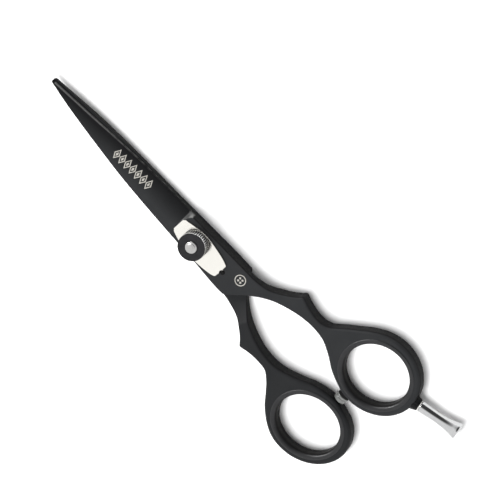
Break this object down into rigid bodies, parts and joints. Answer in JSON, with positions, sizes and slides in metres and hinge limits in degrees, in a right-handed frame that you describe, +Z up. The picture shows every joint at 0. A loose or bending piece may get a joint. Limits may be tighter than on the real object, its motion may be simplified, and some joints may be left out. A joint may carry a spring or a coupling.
{
  "type": "hair cutting shears",
  "caption": "Black offset-handle hair cutting shears with a tension dial, soft ring inserts, a silencer and a screw-on finger rest.",
  "frame": {"origin": "centre of the pivot bolt's head, on the pivot axis, in the plane that the closed shears lie on", "axes": "+Y to the blade tips, +X to the finger ring, +Z up from the table to the tension dial"},
  "size_m": [0.0554, 0.1689, 0.0111],
  "materials": {
    "black_coat": "satin black coating on steel",
    "polished_steel": "mirror polished",
    "bare_steel": "turned",
    "brass": "turned",
    "soft_black": "moulded, soft",
    "nylon": "natural",
    "dial_black": "satin black, ribbed edge",
    "grey_bumper": "mid grey, glossy"
  },
  "bodies": {
    "finger_half": {"finger_blade": "black_coat", "pivot_bush": "brass", "glide_washer": "nylon", "tension_leaf": "polished_steel", "leaf_pin": "bare_steel", "finger_ring_insert": "soft_black", "silencer_stud": "bare_steel", "silencer_bumper": "grey_bumper"},
    "thumb_half": {"thumb_blade": "black_coat", "thumb_ring_insert": "soft_black", "pivot_bolt": "bare_steel", "dial_screw": "polished_steel"},
    "click_stack": {"click_ring": "bare_steel", "dial_washer": "bare_steel"},
    "dial": {"tension_dial": "dial_black", "dial_nut": "bare_steel", "detent_ball": "bare_steel", "detent_spring": "bare_steel"},
    "rest_washer": {"finger_rest_washer": "nylon"},
    "rest": {"finger_rest": "polished_steel", "finger_rest_stud": "bare_steel"}
  },
  "joints": [
    {"name": "blade_pivot", "type": "hinge", "parent": "finger_half", "child": "thumb_half", "pos_m": [0, 0, 0.0029], "axis": [0, 0, -1], "range_deg": [0, 75]},
    {"name": "tension_lift", "type": "slide", "parent": "thumb_half", "child": "click_stack", "axis": [0, 0, 1], "range_m": [-0.0000416, 0.0002499]},
    {"name": "dial_turn", "type": "hinge", "parent": "click_stack", "child": "dial", "pos_m": [0, 0, 0.0085], "axis": [0, 0, 1], "range_deg": [-30, 180]},
    {"name": "rest_travel", "type": "slide", "parent": "finger_half", "child": "rest_washer", "axis": [0.2233, -0.9748, 0], "range_m": [0, 0.0008999]},
    {"name": "rest_turn", "type": "hinge", "parent": "rest_washer", "child": "rest", "pos_m": [0.0151, -0.084, 0.003], "axis": [0.2233, -0.9748, 0], "range_deg": [0, 720]}
  ],
  "couplings": [
    {"joint": "dial_turn", "follows": "tension_lift", "rad_per_m": 12566},
    {"joint": "rest_turn", "follows": "rest_travel", "rad_per_m": 13963}
  ]
}
